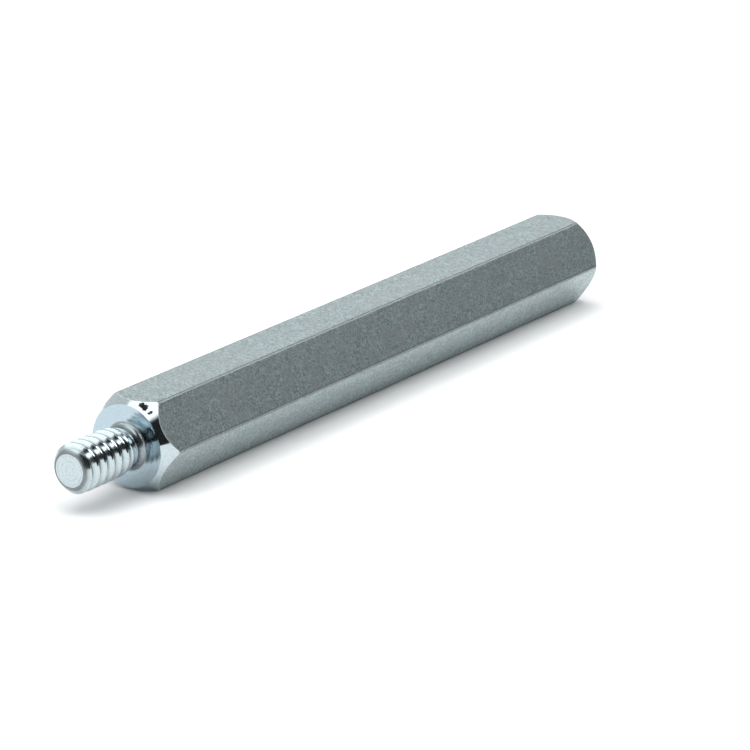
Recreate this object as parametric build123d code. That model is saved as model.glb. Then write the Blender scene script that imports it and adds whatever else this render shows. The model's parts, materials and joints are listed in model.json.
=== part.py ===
from build123d import *

import math
import os

# A male and female hex standoff, turned from one length of hex bar.
# It lies on one flat, with its axis along X and the stud at the -X end.
# Origin: on the lower flat, midway between the shoulder and the end face.
# All sizes are in millimetres and degrees.

# Hex bar
ACROSS_FLATS = 6.35
HEX_EDGE_RADIUS = 0.25
BODY_LENGTH = 53.975

# Chamfers that round off the bar's corners at each end, as angles to the axis
SHOULDER_FACE_DIAMETER = 5.85
SHOULDER_CHAMFER_ANGLE = 32.0
END_FACE_DIAMETER = 6.2
END_CHAMFER_ANGLE = 35.0

# Stud, at its thread's outer diameter
STUD_DIAMETER = 3.505
STUD_LENGTH = 6.1
TIP_FACE_DIAMETER = 2.55
TIP_CHAMFER_ANGLE = 45.0
TIP_EDGE_RADIUS = 0.18

# Relief groove at the shoulder, which the stud tapers down to. Its fillet, left by
# a round-nosed tool, reaches past the stud, so a board's edge beds on flat metal.
NECK_DIAMETER = 2.84
NECK_LENGTH = 0.42
NECK_SLOPE_ANGLE = 12.5
NECK_FILLET_RADIUS = 0.37

# Blind tapped hole, at its thread's inner diameter
BORE_DIAMETER = 2.8
BORE_DEPTH = 12.7
DRILL_POINT_ANGLE = 118.0
COUNTERSINK_DIAMETER = 4.85
COUNTERSINK_ANGLE = 90.0


def cone_run(from_diameter, to_diameter, angle_to_axis):
    """Distance along the axis that a cone takes between two diameters."""
    return (to_diameter - from_diameter) / 2 / math.tan(math.radians(angle_to_axis))


def hex_bar():
    """The drawn bar that the standoff is cut from, stud end to end face."""
    section = RegularPolygon(ACROSS_FLATS / 2, 6, major_radius=False)
    section = fillet(section.vertices(), HEX_EDGE_RADIUS)
    bar = extrude(Plane.YZ * section, BODY_LENGTH + STUD_LENGTH)
    return Pos(-STUD_LENGTH, 0, 0) * bar


def turned_outline():
    """Half outline that the lathe leaves: X along the axis, Y the radius."""
    # Past the bar's corners, where the tool cuts nothing
    clear_diameter = 1.5 * ACROSS_FLATS
    tip_end = -STUD_LENGTH + cone_run(TIP_FACE_DIAMETER, STUD_DIAMETER, TIP_CHAMFER_ANGLE)
    slope_start = -NECK_LENGTH - cone_run(NECK_DIAMETER, STUD_DIAMETER, NECK_SLOPE_ANGLE)
    shoulder_run = cone_run(SHOULDER_FACE_DIAMETER, clear_diameter, SHOULDER_CHAMFER_ANGLE)
    end_run = cone_run(END_FACE_DIAMETER, clear_diameter, END_CHAMFER_ANGLE)
    tip_corner = (-STUD_LENGTH, TIP_FACE_DIAMETER / 2)
    neck_corner = (0, NECK_DIAMETER / 2)
    outline = make_face(
        Polyline(
            (-STUD_LENGTH, 0),
            tip_corner,
            (tip_end, STUD_DIAMETER / 2),
            (slope_start, STUD_DIAMETER / 2),
            (-NECK_LENGTH, NECK_DIAMETER / 2),
            neck_corner,
            (0, SHOULDER_FACE_DIAMETER / 2),
            (shoulder_run, clear_diameter / 2),
            (BODY_LENGTH - end_run, clear_diameter / 2),
            (BODY_LENGTH, END_FACE_DIAMETER / 2),
            (BODY_LENGTH, 0),
            close=True,
        )
    )
    outline = fillet(outline.vertices().sort_by_distance(tip_corner)[0], TIP_EDGE_RADIUS)
    return fillet(outline.vertices().sort_by_distance(neck_corner)[0], NECK_FILLET_RADIUS)


def hole_outline():
    """Half outline of the countersunk blind hole, with its drill point."""
    sink_depth = cone_run(BORE_DIAMETER, COUNTERSINK_DIAMETER, COUNTERSINK_ANGLE / 2)
    wall_end = BODY_LENGTH - BORE_DEPTH
    point_depth = cone_run(0, BORE_DIAMETER, DRILL_POINT_ANGLE / 2)
    return make_face(
        Polyline(
            (wall_end - point_depth, 0),
            (wall_end, BORE_DIAMETER / 2),
            (BODY_LENGTH - sink_depth, BORE_DIAMETER / 2),
            (BODY_LENGTH, COUNTERSINK_DIAMETER / 2),
            (BODY_LENGTH, 0),
            close=True,
        )
    )


def hex_standoff():
    """Turns the bar down to its stud and chamfers, then drills the blind hole."""
    turned = hex_bar() & revolve(turned_outline(), Axis.X)
    drilled = turned - revolve(hole_outline(), Axis.X)
    return Pos(-BODY_LENGTH / 2, 0, ACROSS_FLATS / 2) * drilled


os.makedirs("parts", exist_ok=True)
export_step(hex_standoff(), "parts/hex_standoff.step")
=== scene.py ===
import json
import math

import bpy
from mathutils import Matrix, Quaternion, Vector


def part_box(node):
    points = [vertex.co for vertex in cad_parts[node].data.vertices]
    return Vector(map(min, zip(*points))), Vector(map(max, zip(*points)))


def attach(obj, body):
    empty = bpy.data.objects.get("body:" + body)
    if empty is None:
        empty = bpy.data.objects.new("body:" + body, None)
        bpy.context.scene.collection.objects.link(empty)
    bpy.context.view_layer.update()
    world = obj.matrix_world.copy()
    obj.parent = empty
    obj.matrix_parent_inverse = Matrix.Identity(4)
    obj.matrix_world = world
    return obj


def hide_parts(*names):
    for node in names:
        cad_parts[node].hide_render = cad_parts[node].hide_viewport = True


bl_info = {
    "name": "Hex standoff",
    "version": (1, 0, 0),
    "blender": (4, 5, 0),
    "location": "View3D > Sidebar > Standoff",
    "description": "Zinc plated male and female hex standoff with cut threads",
    "category": "Object",
}

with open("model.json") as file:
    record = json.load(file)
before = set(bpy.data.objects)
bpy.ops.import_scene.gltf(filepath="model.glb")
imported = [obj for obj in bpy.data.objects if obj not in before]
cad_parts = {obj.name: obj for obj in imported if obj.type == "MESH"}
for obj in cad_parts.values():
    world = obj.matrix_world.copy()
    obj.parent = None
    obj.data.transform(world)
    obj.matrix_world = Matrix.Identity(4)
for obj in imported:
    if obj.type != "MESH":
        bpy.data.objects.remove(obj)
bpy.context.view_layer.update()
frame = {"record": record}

NODE = "hex_standoff"
MM = 0.001
MOUNTS = {mount["name"]: mount for mount in frame["record"]["mounts"]}

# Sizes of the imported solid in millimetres, read from its box and its mounts
NODE_LOW, NODE_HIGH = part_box(NODE)
TIP_X = NODE_LOW.x / MM
END_X = NODE_HIGH.x / MM
SHOULDER_X = MOUNTS["shoulder"]["pos_m"][0] / MM
ACROSS_FLATS = (NODE_HIGH.z - NODE_LOW.z) / MM
AXIS_Z = ACROSS_FLATS / 2
STUD_RADIUS = MOUNTS["stud"]["dims"]["r_mm"]
BORE_RADIUS = MOUNTS["tapped_hole"]["dims"]["r_mm"]
STUD_MOUNT_X = MOUNTS["stud"]["pos_m"][0] / MM
STUD_MOUNT_HALF = MOUNTS["stud"]["dims"]["length_mm"] / 2
BORE_MOUNT_X = MOUNTS["tapped_hole"]["pos_m"][0] / MM
BORE_MOUNT_HALF = MOUNTS["tapped_hole"]["dims"]["length_mm"] / 2

# The bar's flats, and how finely round forms are divided
HEX_SIDES = 6
TURN_STEPS = 128
THREAD_STEPS = 72
TIP_EDGE_STEPS = 6
FILLET_STEPS = 10
ROOT_STEPS = 4
CREST_STEPS = 3
HEX_EDGE_STEPS = 5

# Vertices nearer than this, in millimetres, are one
MERGE_GAP = 1e-4

# Form of the thread: its depth and its flat crest as shares of the pitch, half the angle
# between its flanks, and the rounding of its crest in millimetres
THREAD_DEPTH = 0.54
CREST_SHARE = 0.2
FLANK_LEAN = math.radians(30)
CREST_ROUND = 0.03

# Form of the tap, which clears the stud's crest by a little, and of the drill's point
TAP_CREST_SHARE = 0.125
TAP_PLAY = 0.01
DRILL_POINT_LEAN = math.radians(59)

# Angle of the tip's chamfer to the axis
TIP_LEAN = math.radians(45)

# How far one form reaches past the cut or join that ends it, in millimetres
BAR_SPARE = 1.0
HOLE_SPARE = 0.5
TAP_SPARE = 0.12
ROD_SPARE = 0.3
ROD_OVERLAP = 0.2
BODY_OVERLAP = 0.1
STUD_OVERLAP = 0.05
NECK_INSET = 0.005
CREST_SPARE = 0.02

# Pitches that the rod's thread starts before the tip
THREAD_LEAD = 1.5

# Neighbouring faces that meet at less than this are shaded as one surface
SMOOTH_ANGLE = math.radians(28)

# Which cut made a face: how far past the stud's radius the cut thread may reach, and how far
# a face is turned towards the axis on a flat turned face, in the countersink, and on a chamfer
THREAD_MARGIN = 0.1
FLAT_FACING = 0.98
SINK_FACING = (0.6, 0.8)
CHAMFER_FACING = 0.1

# Scale, detail and roughness of each noise, the scale in cycles per metre
DRIFT = (900.0, 3.0, 0.6)
PATCHES = (1700.0, 3.0, 0.6)
WANDER = (1800.0, 2.0, 0.5)
THREAD_WANDER = (2600.0, 2.0, 0.5)
GRAIN = (7000.0, 1.0, 0.5)
LINES = (7000.0, 2.0, 0.5)
PITS = (9000.0, 2.0, 0.6)
NOISE_MIDDLE = 0.5

# The lines are drawn out along the bar
LINE_SCALE = (0.03, 1.0, 1.0)

# Drawn flats: limits of the mottle and of its warmer patches, how strong the warm tint is, and how strong
# the painted shade along the edges is
MOTTLE_SHARES = (0.7, 0.2, 0.1)
MOTTLE_LIMITS = (0.34, 0.66)
WARM_LIMITS = (0.40, 0.64)
WARM_SHARE = 0.45
EDGE_SHADE_SHARE = 0.6

# Radii between which the bar's edges turn rougher and are painted darker as shade, and how far they drift;
# reach of the light line painted as highlight beside a chamfer, all in millimetres
EDGE_RADII = (3.592, 3.605)
EDGE_DRIFT = 0.03
FLAT_HIGHLIGHT_REACH = (0.04, 0.09)

# Drawn flats: roughness, what grain, the shaded edges and the painted highlight's line add
# to it, and relief of the grain, patches and lines
FLAT_ROUGHNESS = 0.33
FLAT_ROUGHENING = (0.12, 0.10, 0.2)
FLAT_HEIGHTS = (1.0, 0.6, 0.5)

# Distance between the rings that the turning tool leaves, between its wider ripples, and
# between the steps in the countersink, in millimetres, and how far the rings wander
RING_STEP = 0.06
WIDE_RING_STEP = 0.34
SINK_RING_STEP = 0.22
RING_WANDER = 0.03

# Height of the rings, what the tip's wide ones add to theirs, and height of the pits
FINE_RING_HEIGHT = 0.15
WIDE_RING_HEIGHT = 0.45
TIP_RING_HEIGHT = 1.6
SINK_RING_HEIGHT = 2.4
PIT_HEIGHT = 0.2

# Radii between which a flat turned face gives way to the chamfer round it, in millimetres,
# and how much of the rings is lost there
CHAMFER_RADII = (2.90, 2.96)
CHAMFER_RING_LOSS = 0.85

# Where the tip, the tapped end and the countersink's wall begin, in millimetres from the tip,
# from the end face and from the countersink's mouth
TIP_ZONE = (0.10, 0.15)
END_ZONE = 3.0
SINK_ZONE = 0.06

# Turned faces: dull rings on the tip, the painted shade round its rim and the rim of the end
# face, with radii, reaches and wandering of that shade and of the rim in millimetres
DULL_RING_LIMITS = (0.9, 1.9)
DULL_RING_WANDER = 1.2
DULL_RING_SHARE = 0.22
TIP_SHADE_RADII = (1.17, 1.23)
TIP_SHADE_WANDER = 0.08
TIP_SHADE_SHARE = 1.2
RIM_REACH = (0.02, 0.06)
RIM_WANDER = 0.05
RIM_SHARE = 0.7

# Turned faces: share and limits of the pits, roughness, and what wandering, dullness and
# nicks add to it
PIT_SHARE = 0.35
PIT_LIMITS = (0.25, 0.55)
TURNED_ROUGHNESS = 0.04
TURNED_ROUGHENING = (0.08, 0.25, 0.3)

# Small dark nicks on the chamfer beside the shoulder: place and reach, in millimetres
NICKS = (
    ((-26.57, -1.03, 6.19), 0.26),
    ((-26.55, -1.26, 6.10), 0.26),
    ((-26.66, -1.33, 6.02), 0.18),
    ((-26.68, -1.72, 5.78), 0.12),
    ((-26.55, -1.78, 5.86), 0.14),
)

# Share of a nick's reach that is wholly dark, and how far its edge wanders, in millimetres
NICK_CORE = 0.7
NICK_RAGGEDNESS = 0.3

# Cut thread: limits of the pits, and heights above the thread's root, in millimetres,
# between which the rougher groove, painted darker as shade, gives way to the bright crest
THREAD_PIT_LIMITS = (0.20, 0.42)
GROOVE_ZONE = (0.04, 0.32)

# Length over which the relief turns rougher and is painted darker as shade, in millimetres, and how much,
# against the groove
NECK_ZONE = 0.2
NECK_SHARE = 1.3

# Distances from the tip between which its rougher edge, painted darker as shade, ends, and how far that
# wanders
TIP_EDGE_ZONE = (0.07, 0.16)
TIP_EDGE_WANDER = 0.12

# Cut thread: how dark the painted shade in the groove and on the tip's edge is, roughness,
# what wandering, groove and edge add to it, and relief of the wandering and the pits
THREAD_PAINTED_SHADE = (0.55, 0.42)
THREAD_ROUGHNESS = 0.07
THREAD_ROUGHENING = (0.10, 0.12, 0.15)
THREAD_HEIGHTS = (0.6, 0.3)

# Strength of each finish's relief, and its height in metres
FLAT_RELIEF = (0.55, 0.00001)
TURNED_RELIEF = (1.0, 0.000003)
THREAD_RELIEF = (0.5, 0.00001)

# Surroundings that the metal mirrors: directions, limits and brightness of each part
OVERHEAD_LIMITS = (0.78, 0.90)
LEFT_BOX_TOWARD = (-0.80, 0.60, 0.0)
LEFT_BOX_SIDES = (0.78, 0.88)
LEFT_BOX_FOOT = (0.24, 0.34)
LEFT_LAMP_TOWARD = (-0.925, -0.20, 0.31)
LEFT_LAMP_LIMITS = (0.986, 0.994)
RIGHT_LAMP_TOWARD = (0.775, -0.26, 0.575)
RIGHT_LAMP_LIMITS = (0.972, 0.986)
DARK_LIMITS = (-0.30, -0.05)
DARK_SHARE = 0.97
WALL_LEVEL = 0.75
OVERHEAD_LEVEL = 1.15
LEFT_BOX_LEVEL = 0.9
LEFT_LAMP_LEVEL = 3.0
RIGHT_LAMP_LEVEL = 5.0
SEEN_LEVEL = 1.1
COOL_TINT = {"Red": 0.985, "Green": 1.0, "Blue": 1.01}

# Keeps the level part of a direction off zero straight overhead
LEVEL_GUARD = 1e-6

# Soft lights: name, place in metres, and the stage's value with the power
LIGHTS = (
    ("key", (-0.12, 0.16, 0.45), "key_power"),
    ("fill", (0.05, -0.26, 0.36), "fill_power"),
)

# Width of each light in metres, and the floor's roughness
LIGHT_SIZE = 0.5
FLOOR_ROUGHNESS = 0.9

# The camera's sensor in millimetres, and how near it sees, in metres
SENSOR_WIDTH = 36.0
CLIP_START = 0.01

# Sockets of a Mix node that mixes colours
MIX_FACTOR = 0
MIX_FIRST = 6
MIX_SECOND = 7
MIX_RESULT = 2


class StandoffSizes(bpy.types.PropertyGroup):
    """Sizes of the forms that the solid's box and mounts don't give, in millimetres and radians."""

    hex_edge_radius: bpy.props.FloatProperty(
        name="Hex edge radius", description="Rounding along the bar's six edges", default=0.25)
    shoulder_radius: bpy.props.FloatProperty(
        name="Shoulder radius", description="Radius of the flat turned shoulder", default=2.925)
    shoulder_angle: bpy.props.FloatProperty(
        name="Shoulder chamfer", description="Angle of the shoulder's chamfer to the axis",
        default=math.radians(32.0), subtype="ANGLE")
    end_radius: bpy.props.FloatProperty(
        name="End face radius", description="Radius of the flat tapped end", default=3.1)
    end_angle: bpy.props.FloatProperty(
        name="End chamfer", description="Angle of the tapped end's chamfer to the axis",
        default=math.radians(35.0), subtype="ANGLE")
    tip_radius: bpy.props.FloatProperty(
        name="Tip radius", description="Radius of the stud's flat tip", default=1.275)
    tip_edge: bpy.props.FloatProperty(
        name="Tip edge radius", description="Rounding at the edge of the stud's flat tip", default=0.18)
    neck_radius: bpy.props.FloatProperty(
        name="Neck radius", description="Radius of the relief between thread and shoulder", default=1.42)
    neck_length: bpy.props.FloatProperty(
        name="Neck length", description="Length of the relief at its full depth", default=0.42)
    neck_fillet: bpy.props.FloatProperty(
        name="Neck fillet", description="Fillet between the relief and the shoulder", default=0.37)
    sink_radius: bpy.props.FloatProperty(
        name="Countersink radius", description="Radius of the countersink at its mouth", default=2.425)
    pitch: bpy.props.FloatProperty(
        name="Thread pitch", description="Distance between two crests of either thread", default=0.79375)
    tapped_depth: bpy.props.FloatProperty(
        name="Tapped depth", description="How far in from the end face the thread is cut", default=10.5)


class StandoffFinish(bpy.types.PropertyGroup):
    """Colours of the zinc plate and of the floor."""

    plate_light: bpy.props.FloatVectorProperty(
        name="Plate, light", description="Lighter patches of the plated flats", subtype="COLOR",
        size=3, default=(0.56, 0.67, 0.665))
    plate_dark: bpy.props.FloatVectorProperty(
        name="Plate, dark", description="Darker specks of the plated flats", subtype="COLOR",
        size=3, default=(0.28, 0.34, 0.36))
    plate_warm: bpy.props.FloatVectorProperty(
        name="Plate, warm", description="Warmer tint in some patches of the plated flats", subtype="COLOR",
        size=3, default=(0.44, 0.47, 0.49))
    # Painted shade: the dark colour painted along the bar's rounded edges
    plate_edge_shade: bpy.props.FloatVectorProperty(
        name="Plate, worn", description="Thin, dull plate along the bar's edges", subtype="COLOR",
        size=3, default=(0.13, 0.135, 0.125))
    nick: bpy.props.FloatVectorProperty(
        name="Nick", description="Small dark nicks on the shoulder's chamfer", subtype="COLOR",
        size=3, default=(0.02, 0.02, 0.02))
    # Painted highlight: the light colour painted where the flats meet the chamfers
    painted_edge_band: bpy.props.FloatVectorProperty(
        name="Burr", description="Light burr where the flats meet the chamfers", subtype="COLOR",
        size=3, default=(0.70, 0.75, 0.76))
    turned: bpy.props.FloatVectorProperty(
        name="Turned, bright", description="Bright plate on turned metal", subtype="COLOR",
        size=3, default=(0.51, 0.585, 0.61))
    turned_face: bpy.props.FloatVectorProperty(
        name="Turned, blue", description="Bluer plate on the flat shoulder", subtype="COLOR",
        size=3, default=(0.43, 0.53, 0.585))
    # The pits' colour, and the painted shade in the thread's groove, in the relief and round the tip's rim
    turned_dark_and_painted_shade: bpy.props.FloatVectorProperty(
        name="Turned, dull", description="Pits, grooves and rims of the turned metal", subtype="COLOR",
        size=3, default=(0.20, 0.225, 0.235))
    floor: bpy.props.FloatVectorProperty(
        name="Floor", description="Pale floor", subtype="COLOR", size=3, default=(0.90, 0.90, 0.90))


class StageSizes(bpy.types.PropertyGroup):
    """Where the camera stands, and how strong the lights are."""

    azimuth: bpy.props.FloatProperty(
        name="Azimuth", description="Camera's turn about the object", default=math.radians(-55.02),
        subtype="ANGLE")
    elevation: bpy.props.FloatProperty(
        name="Elevation", description="Camera's height above the floor", default=math.radians(18.84),
        subtype="ANGLE")
    roll: bpy.props.FloatProperty(
        name="Roll", description="Camera's tilt about its own line of sight",
        default=math.radians(0.62), subtype="ANGLE")
    distance: bpy.props.FloatProperty(
        name="Distance", description="Camera to the aimed point", default=0.32558, unit="LENGTH")
    aim: bpy.props.FloatVectorProperty(
        name="Aim", description="Point on the floor that the camera looks at", size=3,
        default=(0.00282, 0.00047, 0.0), subtype="TRANSLATION")
    lens: bpy.props.FloatProperty(
        name="Lens", description="Focal length in millimetres on a 36 mm sensor", default=214.57)
    floor_side: bpy.props.FloatProperty(
        name="Floor side", description="Side of the square floor", default=4.0, unit="LENGTH")
    key_power: bpy.props.FloatProperty(
        name="Key light", description="Power of the soft light overhead, in watts", default=0.5)
    fill_power: bpy.props.FloatProperty(
        name="Fill light", description="Power of the soft light in front, in watts", default=0.6)
    sky_strength: bpy.props.FloatProperty(
        name="Surroundings", description="Strength of the white surroundings", default=1.15)


def only(piece):
    """Makes this the one selected and active object."""
    bpy.ops.object.select_all(action="DESELECT")
    piece.select_set(True)
    bpy.context.view_layer.objects.active = piece


def draw_outline(name, points):
    """A chain of edges through the points, drawn by extruding one vertex along the outline."""
    bpy.ops.object.select_all(action="DESELECT")
    bpy.ops.mesh.primitive_plane_add(size=1.0, location=(0, 0, 0))
    piece = bpy.context.object
    piece.name = name
    bpy.ops.object.mode_set(mode="EDIT")
    bpy.ops.mesh.select_mode(type="VERT")
    bpy.ops.mesh.select_all(action="SELECT")
    bpy.ops.mesh.merge(type="CENTER")
    bpy.ops.transform.translate(value=(points[0][0], 0, points[0][1]))
    for (x0, r0), (x1, r1) in zip(points, points[1:]):
        step = (x1 - x0, 0, r1 - r0)
        bpy.ops.mesh.extrude_vertices_move(TRANSFORM_OT_translate={"value": step})
    bpy.ops.object.mode_set(mode="OBJECT")
    return piece


def turn_on_lathe(name, points):
    """A closed solid: the outline, which starts and ends on the axis, spun about X."""
    piece = draw_outline(name, points)
    bpy.ops.object.mode_set(mode="EDIT")
    bpy.ops.mesh.select_all(action="SELECT")
    bpy.ops.mesh.spin(steps=TURN_STEPS, angle=math.tau, center=(0, 0, 0), axis=(1, 0, 0))
    close_seams()
    bpy.ops.object.mode_set(mode="OBJECT")
    return piece


def close_seams():
    """In edit mode: merges doubles, then turns every face outwards."""
    bpy.ops.mesh.select_all(action="SELECT")
    bpy.ops.mesh.remove_doubles(threshold=MERGE_GAP)
    bpy.ops.mesh.normals_make_consistent(inside=False)


def wind_thread(name, profile, pitch, turns):
    """A helical surface: the profile, one pitch long or less, screwed about X."""
    piece = draw_outline(name, profile)
    only(piece)
    screw = piece.modifiers.new("Thread", "SCREW")
    screw.axis = "X"
    screw.screw_offset = pitch
    screw.iterations = turns
    screw.steps = THREAD_STEPS
    screw.render_steps = THREAD_STEPS
    screw.use_merge_vertices = False
    bpy.ops.object.modifier_apply(modifier=screw.name)
    return piece


def combine(piece, tool, operation):
    """Cuts, keeps or joins with another solid, which is used up."""
    only(piece)
    cut = piece.modifiers.new("Cut", "BOOLEAN")
    cut.operation = operation
    cut.solver = "EXACT"
    cut.object = tool
    bpy.ops.object.modifier_apply(modifier=cut.name)
    bpy.data.objects.remove(tool, do_unlink=True)


def arc(centre, radius, start, end, steps):
    """Points of an arc in the outline's plane, from one angle to another."""
    turns = [start + (end - start) * i / steps for i in range(steps + 1)]
    return [(centre[0] + radius * math.cos(a), centre[1] + radius * math.sin(a)) for a in turns]


def hex_bar(sizes):
    """The drawn bar with its six rounded edges, longer than the body at both ends."""
    corner = AXIS_Z / math.cos(math.pi / HEX_SIDES)
    length = END_X - SHOULDER_X + 2 * BAR_SPARE
    bpy.ops.object.select_all(action="DESELECT")
    bpy.ops.mesh.primitive_cylinder_add(
        vertices=HEX_SIDES, radius=corner, depth=length,
        location=((END_X + SHOULDER_X) / 2, 0, 0), rotation=(0, math.pi / 2, 0))
    bar = bpy.context.object
    bar.name = "bar"
    bpy.ops.object.transform_apply(location=True, rotation=True, scale=True)
    for edge in bar.data.edges:
        a, b = (bar.data.vertices[i].co for i in edge.vertices)
        edge.select = abs(a.x - b.x) > length / 2
    bpy.ops.object.mode_set(mode="EDIT")
    bpy.ops.mesh.select_mode(type="EDGE")
    # How far an edge's rounding reaches along the two flats that it joins
    offset = sizes.hex_edge_radius * math.tan(math.pi / HEX_SIDES)
    bpy.ops.mesh.bevel(offset=offset, offset_type="OFFSET", segments=HEX_EDGE_STEPS, affect="EDGES")
    bpy.ops.object.mode_set(mode="OBJECT")
    return bar


def turned_envelope(sizes):
    """What the lathe leaves of the body: chamfers at both ends, and the neck at the shoulder."""
    # A radius past the bar's corners, where the lathe cuts nothing
    clear = ACROSS_FLATS
    root_x = SHOULDER_X - sizes.neck_length - BODY_OVERLAP
    shoulder_run = (clear - sizes.shoulder_radius) / math.tan(sizes.shoulder_angle)
    end_run = (clear - sizes.end_radius) / math.tan(sizes.end_angle)
    fillet_centre = (SHOULDER_X - sizes.neck_fillet, sizes.neck_radius + sizes.neck_fillet)
    points = [(root_x, 0), (root_x, sizes.neck_radius)]
    points += arc(fillet_centre, sizes.neck_fillet, -math.pi / 2, 0, FILLET_STEPS)
    points += [
        (SHOULDER_X, sizes.shoulder_radius),
        (SHOULDER_X + shoulder_run, clear),
        (END_X - end_run, clear),
        (END_X, sizes.end_radius),
        (END_X, 0),
    ]
    return turn_on_lathe("envelope", points)


def stud_envelope(sizes):
    """Outline that the stud's thread is turned to: rounded tip, chamfer, taper into the neck."""
    outer = STUD_RADIUS + CREST_SPARE
    neck_start = SHOULDER_X - sizes.neck_length
    neck_radius = sizes.neck_radius - NECK_INSET
    tip_end = TIP_X + (outer - sizes.tip_radius) / math.tan(TIP_LEAN)
    taper_start = STUD_MOUNT_X + STUD_MOUNT_HALF
    # The tip's edge is rounded by an arc that both the flat tip and the chamfer touch
    trim = sizes.tip_edge * math.tan(TIP_LEAN / 2)
    centre = (TIP_X + sizes.tip_edge, sizes.tip_radius - trim)
    points = [(TIP_X, 0)]
    points += arc(centre, sizes.tip_edge, math.pi, math.pi - TIP_LEAN, TIP_EDGE_STEPS)
    points += [
        (tip_end, outer),
        (taper_start, outer),
        (neck_start, neck_radius),
        (neck_start + STUD_OVERLAP, neck_radius),
        (neck_start + STUD_OVERLAP, 0),
    ]
    return turn_on_lathe("stud_envelope", points)


def threaded_rod(sizes):
    """Rod with a right-hand thread, its crests and roots rounded, before its ends are turned."""
    pitch = sizes.pitch
    root_radius = STUD_RADIUS - THREAD_DEPTH * pitch
    crest_half = pitch * CREST_SHARE / 2
    root_half = pitch / 2 - crest_half - THREAD_DEPTH * pitch * math.tan(FLANK_LEAN)
    # An arc that ends on a flank runs past the flat's own corner by this share of its radius
    past = math.tan((math.pi / 2 - FLANK_LEAN) / 2)
    root_round = root_half / past
    flat_half = crest_half - CREST_ROUND * past
    turn = math.pi / 2 - FLANK_LEAN
    root_centre = (0, root_radius + root_round)
    crest_centre = (pitch / 2 - flat_half, STUD_RADIUS - CREST_ROUND)
    root_arc = arc(root_centre, root_round, -math.pi / 2, turn - math.pi / 2, ROOT_STEPS)
    crest_arc = arc(crest_centre, CREST_ROUND, turn + math.pi / 2, math.pi / 2, CREST_STEPS)
    # Half a pitch from the root's middle to the crest's flat, mirrored for the other half
    half = root_arc + crest_arc
    whole = half + [(pitch - x, r) for x, r in reversed(half)]
    start = TIP_X - THREAD_LEAD * pitch
    turns = math.ceil((SHOULDER_X - start) / pitch)
    profile = [(start + x, r) for x, r in whole]
    rod = wind_thread("rod", profile, pitch, turns)
    bpy.ops.object.mode_set(mode="EDIT")
    close_seams()
    neck_start = SHOULDER_X - sizes.neck_length
    for is_tip, place in ((True, TIP_X - ROD_SPARE), (False, neck_start + ROD_OVERLAP)):
        bpy.ops.mesh.select_all(action="SELECT")
        bpy.ops.mesh.bisect(
            plane_co=(place, 0, 0), plane_no=(1, 0, 0), use_fill=True,
            clear_inner=is_tip, clear_outer=not is_tip)
    close_seams()
    bpy.ops.object.mode_set(mode="OBJECT")
    return rod


def hole_solid(sizes):
    """The drilled and countersunk hole, as the solid that it removes."""
    sink_depth = sizes.sink_radius - BORE_RADIUS
    wall_end = BORE_MOUNT_X - BORE_MOUNT_HALF
    return turn_on_lathe("hole", [
        (wall_end - BORE_RADIUS / math.tan(DRILL_POINT_LEAN), 0),
        (wall_end, BORE_RADIUS),
        (END_X - sink_depth, BORE_RADIUS),
        (END_X + HOLE_SPARE, sizes.sink_radius + HOLE_SPARE),
        (END_X + HOLE_SPARE, 0),
    ])


def tap_solid(sizes):
    """The helical groove that the tap cuts in the hole's wall, as a closed solid."""
    pitch = sizes.pitch
    outer = STUD_RADIUS + TAP_PLAY
    inner = BORE_RADIUS - TAP_SPARE
    crest_half = pitch * TAP_CREST_SHARE / 2
    foot_half = crest_half + (outer - inner) * math.tan(FLANK_LEAN)
    start = END_X - sizes.tapped_depth
    turns = math.ceil((sizes.tapped_depth + pitch) / pitch)
    profile = [
        (start - foot_half, inner),
        (start - crest_half, outer),
        (start + crest_half, outer),
        (start + foot_half, inner),
        (start - foot_half, inner),
    ]
    tap = wind_thread("tap", profile, pitch, turns)
    bpy.ops.object.mode_set(mode="EDIT")
    bpy.ops.mesh.select_mode(type="EDGE")
    close_seams()
    bpy.ops.mesh.select_all(action="DESELECT")
    bpy.ops.mesh.select_non_manifold(extend=False)
    bpy.ops.mesh.edge_face_add()
    close_seams()
    bpy.ops.object.mode_set(mode="OBJECT")
    return tap


class Socket:
    """A shader value that sums, differences and products can be written with."""

    def __init__(self, finish, link):
        self.finish = finish
        self.link = link

    def math(self, operation, *others):
        values = dict(enumerate((self, *others)))
        return self.finish.node("ShaderNodeMath", {"operation": operation}, values)

    def at_most(self, top):
        return self.math("MINIMUM", top)

    def __add__(self, other):
        return self.math("ADD", other)

    def __radd__(self, other):
        return self.math("ADD", other)

    def __sub__(self, other):
        return self.math("SUBTRACT", other)

    def __rsub__(self, other):
        return self.math("MULTIPLY", -1.0).math("ADD", other)

    def __mul__(self, other):
        return self.math("MULTIPLY", other)

    def __rmul__(self, other):
        return self.math("MULTIPLY", other)


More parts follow.
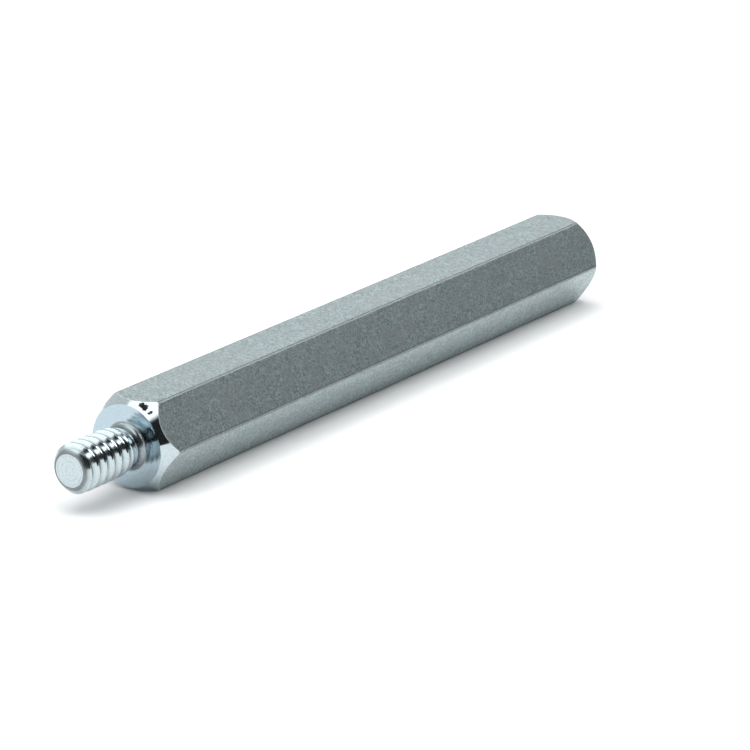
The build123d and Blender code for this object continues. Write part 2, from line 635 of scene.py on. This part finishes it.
class Finish:
    """A node tree, with one method that adds any node."""

    def __init__(self, tree):
        self.tree = tree

    def node(self, kind, settings=None, values=None, output=0):
        made = self.tree.nodes.new(kind)
        for name, value in (settings or {}).items():
            setattr(made, name, value)
        for place, value in (values or {}).items():
            if isinstance(value, Socket):
                self.tree.links.new(value.link, made.inputs[place])
            else:
                made.inputs[place].default_value = value
        return Socket(self, made.outputs[output]) if made.outputs else made

    def split(self, vector):
        """The three parts of a vector."""
        parts = self.node("ShaderNodeSeparateXYZ", None, {"Vector": vector}).link.node
        return [Socket(self, part) for part in parts.outputs]

    def smooth_step(self, value, low, high):
        """0 below low, 1 above high and smooth between."""
        return self.node(
            "ShaderNodeMapRange", {"interpolation_type": "SMOOTHSTEP"},
            {"Value": value, "From Min": low, "From Max": high})

    def smooth_step_mm(self, value, low, high):
        """The same for a distance in metres, with its limits in millimetres."""
        return self.smooth_step(value, low * MM, high * MM)

    def noise(self, vector, scale, detail, roughness):
        return self.node(
            "ShaderNodeTexNoise", None,
            {"Vector": vector, "Scale": scale, "Detail": detail, "Roughness": roughness})

    def mix(self, factor, first, second):
        """A mix of two colours, of which the first may itself be mixed."""
        if not isinstance(first, Socket):
            first = rgba(first)
        values = {MIX_FACTOR: factor, MIX_FIRST: first, MIX_SECOND: rgba(second)}
        return self.node("ShaderNodeMix", {"data_type": "RGBA"}, values, MIX_RESULT)

    def metal(self, colour, rough, height, relief):
        """Ends the tree with bare metal of this colour, roughness and relief."""
        strength, distance = relief
        bump = self.node(
            "ShaderNodeBump", None, {"Strength": strength, "Distance": distance, "Height": height})
        shader = self.node("ShaderNodeBsdfPrincipled", None, {
            "Base Color": colour, "Roughness": rough, "Metallic": 1.0, "Normal": bump})
        self.node("ShaderNodeOutputMaterial", None, {"Surface": shader})


def rgba(colour):
    return (*colour, 1.0)


def weigh(shares, values):
    """Sum of the values, each times its share."""
    return sum(share * value for share, value in zip(shares, values))


def new_finish(name):
    """A material, what adds its nodes, a place on the piece, its x and its distance from the axis."""
    material = bpy.data.materials.new(name)
    material.use_nodes = True
    material.node_tree.nodes.clear()
    make = Finish(material.node_tree)
    place = make.node("ShaderNodeTexCoord", output="Object")
    x, y, z = make.split(place)
    z_up = z - AXIS_Z * MM
    radius = (y * y + z_up * z_up).math("SQRT")
    return material, make, place, x, radius


def past_chamfer(from_face, radius, face_radius, angle):
    """How far a place lies past a chamfer's cone, along the axis; from_face is to the flat end."""
    return from_face - (radius - face_radius * MM) * (1.0 / math.tan(angle))


def drawn_flats(colours, sizes):
    """Satin, finely mottled zinc over the drawn bar's six flats."""
    material, make, place, x, radius = new_finish("zinc_on_drawn_flats")
    drift = make.noise(place, *DRIFT)
    grain = make.noise(place, *GRAIN)
    patches = make.noise(place, *PATCHES)
    along = make.node("ShaderNodeMapping", None, {"Vector": place, "Scale": LINE_SCALE})
    lines = make.noise(along, *LINES)
    layers = (grain, patches, lines)
    # Rougher plate along the bar's rounded edges, painted darker there as shade
    edge_reach = radius + EDGE_DRIFT * MM * (drift - NOISE_MIDDLE)
    rough_shaded_edge = make.smooth_step_mm(edge_reach, *EDGE_RADII)
    # A light line painted as highlight where the flats meet the chamfers, which is also rougher
    past_shoulder = past_chamfer(
        x - SHOULDER_X * MM, radius, sizes.shoulder_radius, sizes.shoulder_angle)
    past_end = past_chamfer(END_X * MM - x, radius, sizes.end_radius, sizes.end_angle)
    painted_edge_band = 1.0 - make.smooth_step_mm(past_shoulder.math("MINIMUM", past_end), *FLAT_HIGHLIGHT_REACH)
    mottle = make.smooth_step(weigh(MOTTLE_SHARES, layers), *MOTTLE_LIMITS)
    colour = make.mix(mottle, colours.plate_dark, colours.plate_light)
    colour = make.mix(WARM_SHARE * make.smooth_step(drift, *WARM_LIMITS), colour, colours.plate_warm)
    # Painted shade along the rounded edges
    colour = make.mix(EDGE_SHADE_SHARE * rough_shaded_edge, colour, colours.plate_edge_shade)
    # Painted highlight beside the chamfers
    colour = make.mix(painted_edge_band, colour, colours.painted_edge_band)
    rough = FLAT_ROUGHNESS + weigh(FLAT_ROUGHENING, (grain, rough_shaded_edge, painted_edge_band))
    make.metal(colour, rough, weigh(FLAT_HEIGHTS, layers), FLAT_RELIEF)
    return material


def spot(make, place, centre, reach, ragged):
    """1 inside a small ragged spot, 0 outside it."""
    centre = [part * MM for part in centre]
    away = make.node(
        "ShaderNodeVectorMath", {"operation": "DISTANCE"}, {0: place, 1: centre}, "Value")
    away = away + NICK_RAGGEDNESS * MM * (ragged - NOISE_MIDDLE)
    return 1.0 - make.smooth_step_mm(away, NICK_CORE * reach, reach)


def turned_faces(colours, sizes):
    """Bright zinc over lathe-turned faces and chamfers, with the tool's fine rings about the axis."""
    material, make, place, x, radius = new_finish("zinc_on_turned_faces")
    wander = make.noise(place, *WANDER)
    pits = make.noise(place, *PITS)
    along_cut = radius + RING_WANDER * MM * wander
    fine_rings = (along_cut * (math.tau / (RING_STEP * MM))).math("SINE")
    wide_rings = (along_cut * (math.tau / (WIDE_RING_STEP * MM))).math("COSINE")
    sink_rings = (along_cut * (math.tau / (SINK_RING_STEP * MM))).math("COSINE")
    # The rings are cut deep on the flat faces and shallow on the chamfers round them
    outside = make.smooth_step_mm(radius, *CHAMFER_RADII)
    depth = 1.0 - CHAMFER_RING_LOSS * outside
    at_tip = 1.0 - make.smooth_step_mm(x, *(TIP_X + reach for reach in TIP_ZONE))
    at_end = make.smooth_step_mm(x, 0.0, END_X - END_ZONE)
    in_sink = 1.0 - make.smooth_step_mm(radius, sizes.sink_radius - SINK_ZONE, sizes.sink_radius)
    # The flat shoulder has the bluest plate
    bright = (outside + at_tip + at_end).at_most(1.0)
    clean = make.mix(bright, colours.turned_face, colours.turned)
    # Dull are the tip's wide rings and the rim of the end face; the band round the tip's rim is painted
    # shade
    dull_rings = make.smooth_step(wide_rings + DULL_RING_WANDER * wander, *DULL_RING_LIMITS)
    painted_edge_band = make.smooth_step_mm(radius + TIP_SHADE_WANDER * MM * wander, *TIP_SHADE_RADII)
    rim_reach = radius + RIM_WANDER * MM * (wander - NOISE_MIDDLE)
    rim_away = (rim_reach - sizes.end_radius * MM).math("ABSOLUTE")
    rim = at_end * (1.0 - make.smooth_step_mm(rim_away, *RIM_REACH))
    darkening_with_painted_shade = at_tip * (DULL_RING_SHARE * dull_rings + TIP_SHADE_SHARE * painted_edge_band) + RIM_SHARE * rim
    pitted = PIT_SHARE - PIT_SHARE * make.smooth_step(pits, *PIT_LIMITS)
    nicks = sum(spot(make, place, centre, reach, pits) for centre, reach in NICKS)
    # Pits, dull rings and the end face's rim darken the plate; the band round the tip's rim is painted
    # shade
    colour = make.mix((pitted + darkening_with_painted_shade).at_most(1.0), clean, colours.turned_dark_and_painted_shade)
    colour = make.mix(nicks.at_most(1.0), colour, colours.nick)
    rough = TURNED_ROUGHNESS + weigh(TURNED_ROUGHENING, (wander, darkening_with_painted_shade, nicks))
    rings = FINE_RING_HEIGHT * fine_rings + (WIDE_RING_HEIGHT + TIP_RING_HEIGHT * at_tip) * wide_rings
    height = rings * depth + SINK_RING_HEIGHT * sink_rings * at_end * in_sink + PIT_HEIGHT * pits
    make.metal(colour, rough, height, TURNED_RELIEF)
    return material


def cut_thread(colours, sizes):
    """Bright, smooth zinc over the cut thread and the relief beside it."""
    material, make, place, x, radius = new_finish("zinc_on_cut_thread")
    wander = make.noise(place, *THREAD_WANDER)
    pits = make.noise(place, *PITS)
    # The plate is rougher deep in the stud's thread and in the relief beside it, and painted darker there
    # as shade
    root_radius = STUD_RADIUS - THREAD_DEPTH * sizes.pitch
    neck_start = SHOULDER_X - sizes.neck_length
    on_stud = 1.0 - make.smooth_step_mm(x, SHOULDER_X, 0.0)
    in_groove = 1.0 - make.smooth_step_mm(radius, *(root_radius + reach for reach in GROOVE_ZONE))
    in_neck = make.smooth_step_mm(x, neck_start - NECK_ZONE, neck_start)
    deep = on_stud * (in_groove + NECK_SHARE * in_neck).at_most(NECK_SHARE)
    # So it is on the rounded edge of the tip, also painted darker there as shade
    edge_reach = x + TIP_EDGE_WANDER * MM * (wander - NOISE_MIDDLE)
    edge = 1.0 - make.smooth_step_mm(edge_reach, *(TIP_X + reach for reach in TIP_EDGE_ZONE))
    darkening_with_painted_shade = weigh(THREAD_PAINTED_SHADE, (deep, edge)).at_most(1.0)
    colour = make.mix(make.smooth_step(pits, *THREAD_PIT_LIMITS), colours.turned_dark_and_painted_shade, colours.turned)
    # Painted shade darkens the groove, the relief and the tip's edge
    colour = make.mix(darkening_with_painted_shade, colour, colours.turned_dark_and_painted_shade)
    rough = THREAD_ROUGHNESS + weigh(THREAD_ROUGHENING, (wander, deep, edge))
    make.metal(colour, rough, weigh(THREAD_HEIGHTS, (wander, pits)), THREAD_RELIEF)
    return material


def finish_faces(piece, colours, sizes):
    """Gives each face the finish of the cut that made it."""
    finishes = (drawn_flats, turned_faces, cut_thread)
    for finish in finishes:
        piece.data.materials.append(finish(colours, sizes))
    sink_low, sink_high = SINK_FACING
    for face in piece.data.polygons:
        reach = math.hypot(face.center.y, face.center.z - AXIS_Z * MM) / MM
        is_flat_turned = abs(face.normal.x) > FLAT_FACING
        is_sink = sink_low < face.normal.x < sink_high and face.center.x > 0
        if reach < STUD_RADIUS + THREAD_MARGIN and not is_flat_turned and not is_sink:
            finish = cut_thread
        elif abs(face.normal.x) > CHAMFER_FACING:
            finish = turned_faces
        else:
            finish = drawn_flats
        face.material_index = finishes.index(finish)


class STANDOFF_OT_body(bpy.types.Operator):
    """Bar, turned ends, stud thread and tapped hole as one closed mesh"""

    bl_idname = "standoff.body"
    bl_label = "Standoff"

    def execute(self, context):
        sizes = context.scene.standoff_sizes
        body = hex_bar(sizes)
        combine(body, turned_envelope(sizes), "INTERSECT")
        combine(body, hole_solid(sizes), "DIFFERENCE")
        combine(body, tap_solid(sizes), "DIFFERENCE")
        stud = threaded_rod(sizes)
        combine(stud, stud_envelope(sizes), "INTERSECT")
        combine(body, stud, "UNION")
        body.name = "standoff"
        body.data.name = "standoff"
        only(body)
        body.location = (0, 0, AXIS_Z * MM)
        body.scale = (MM, MM, MM)
        bpy.ops.object.transform_apply(location=True, rotation=True, scale=True)
        bpy.ops.object.shade_smooth_by_angle(angle=SMOOTH_ANGLE)
        evener = body.modifiers.new("Even normals", "WEIGHTED_NORMAL")
        evener.keep_sharp = True
        bpy.ops.object.modifier_apply(modifier=evener.name)
        finish_faces(body, context.scene.standoff_finish, sizes)
        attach(body, "root")
        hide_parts(NODE)
        return {"FINISHED"}


def toward(direction, place):
    """Cosine of the angle between a direction and a place in the surroundings."""
    return weigh(Vector(place).normalized(), direction)


def surroundings(strength):
    """White walls and ceiling, a dark front side, and a box and two lamps that the metal mirrors."""
    world = bpy.data.worlds.new("studio")
    bpy.context.scene.world = world
    world.use_nodes = True
    world.node_tree.nodes.clear()
    make = Finish(world.node_tree)
    # In a world, this output is the direction that a ray leaves in
    direction = make.split(make.node("ShaderNodeTexCoord", output="Generated"))
    x, y, z = direction
    level_reach = (x * x + y * y + LEVEL_GUARD).math("SQRT")
    overhead = make.smooth_step(z, *OVERHEAD_LIMITS)
    left = toward(direction, LEFT_BOX_TOWARD).math("DIVIDE", level_reach)
    left_box = make.smooth_step(left, *LEFT_BOX_SIDES) * make.smooth_step(z, *LEFT_BOX_FOOT)
    left_lamp = make.smooth_step(toward(direction, LEFT_LAMP_TOWARD), *LEFT_LAMP_LIMITS)
    right_lamp = make.smooth_step(toward(direction, RIGHT_LAMP_TOWARD), *RIGHT_LAMP_LIMITS)
    # The dark side is what else lies to the front, from the floor to high overhead
    front = (-1.0 * y).math("DIVIDE", level_reach)
    dark = make.smooth_step(front, *DARK_LIMITS) * (1.0 - overhead) * (1.0 - left_box)
    walls = WALL_LEVEL + OVERHEAD_LEVEL * overhead + LEFT_BOX_LEVEL * left_box * (1.0 - overhead)
    lamps = RIGHT_LAMP_LEVEL * right_lamp + LEFT_LAMP_LEVEL * left_lamp
    glow = walls * (1.0 - DARK_SHARE * dark) + lamps
    # The camera itself sees an even white
    seen = make.node("ShaderNodeLightPath", output="Is Camera Ray")
    level = (glow + seen * (SEEN_LEVEL - glow)) * strength
    colour = make.node(
        "ShaderNodeCombineColor", None, {part: level * share for part, share in COOL_TINT.items()})
    shade = make.node("ShaderNodeBackground", None, {"Color": colour, "Strength": 1.0})
    make.node("ShaderNodeOutputWorld", None, {"Surface": shade})


class STANDOFF_OT_stage(bpy.types.Operator):
    """Pale floor, soft light, white surroundings and the camera"""

    bl_idname = "standoff.stage"
    bl_label = "Stage"

    def execute(self, context):
        scene = context.scene
        stage = scene.standoff_stage
        bpy.ops.object.select_all(action="DESELECT")
        bpy.ops.mesh.primitive_plane_add(size=stage.floor_side, location=(0, 0, 0))
        floor = context.object
        floor.name = "floor"
        material = bpy.data.materials.new("pale_floor")
        material.use_nodes = True
        shader = material.node_tree.nodes["Principled BSDF"]
        shader.inputs["Base Color"].default_value = rgba(scene.standoff_finish.floor)
        shader.inputs["Roughness"].default_value = FLOOR_ROUGHNESS
        floor.data.materials.append(material)

        for name, place, power in LIGHTS:
            bpy.ops.object.light_add(type="AREA", location=place)
            lamp = context.object
            lamp.name = name
            lamp.data.shape = "DISK"
            lamp.data.size = LIGHT_SIZE
            lamp.data.energy = getattr(stage, power)
            lamp.rotation_mode = "QUATERNION"
            lamp.rotation_quaternion = lamp.location.to_track_quat("Z", "Y")
            # It lights the floor; what the metal mirrors is the surroundings
            lamp.visible_glossy = False

        surroundings(stage.sky_strength)
        scene.view_settings.view_transform = "Standard"

        turn = stage.azimuth
        rise = stage.elevation
        reach = math.cos(rise)
        back = Vector((math.sin(turn) * reach, -math.cos(turn) * reach, math.sin(rise)))
        bpy.ops.object.camera_add(location=Vector(stage.aim) + back * stage.distance)
        camera = context.object
        camera.rotation_mode = "QUATERNION"
        level = (-back).to_track_quat("-Z", "Y")
        camera.rotation_quaternion = level @ Quaternion((0, 0, 1), stage.roll)
        camera.data.sensor_width = SENSOR_WIDTH
        camera.data.lens = stage.lens
        camera.data.clip_start = CLIP_START
        scene.camera = camera
        return {"FINISHED"}


class STANDOFF_PT_panel(bpy.types.Panel):
    """Lists the operators, and the values that they use"""

    bl_idname = "STANDOFF_PT_panel"
    bl_label = "Hex standoff"
    bl_space_type = "VIEW_3D"
    bl_region_type = "UI"
    bl_category = "Standoff"

    def draw(self, context):
        for group in GROUPS:
            values = getattr(context.scene, group)
            for name in values.bl_rna.properties.keys():
                if name not in ("rna_type", "name"):
                    self.layout.prop(values, name)
        for operator in (STANDOFF_OT_body, STANDOFF_OT_stage):
            self.layout.operator(operator.bl_idname)


GROUPS = {
    "standoff_sizes": StandoffSizes,
    "standoff_finish": StandoffFinish,
    "standoff_stage": StageSizes,
}
CLASSES = (*GROUPS.values(), STANDOFF_OT_body, STANDOFF_OT_stage, STANDOFF_PT_panel)


def register():
    for kind in CLASSES:
        bpy.utils.register_class(kind)
    for name, kind in GROUPS.items():
        setattr(bpy.types.Scene, name, bpy.props.PointerProperty(type=kind))


def unregister():
    for name in GROUPS:
        delattr(bpy.types.Scene, name)
    for kind in reversed(CLASSES):
        bpy.utils.unregister_class(kind)


def main():
    register()
    bpy.ops.standoff.body()
    bpy.ops.standoff.stage()


if __name__ == "__main__":
    main()
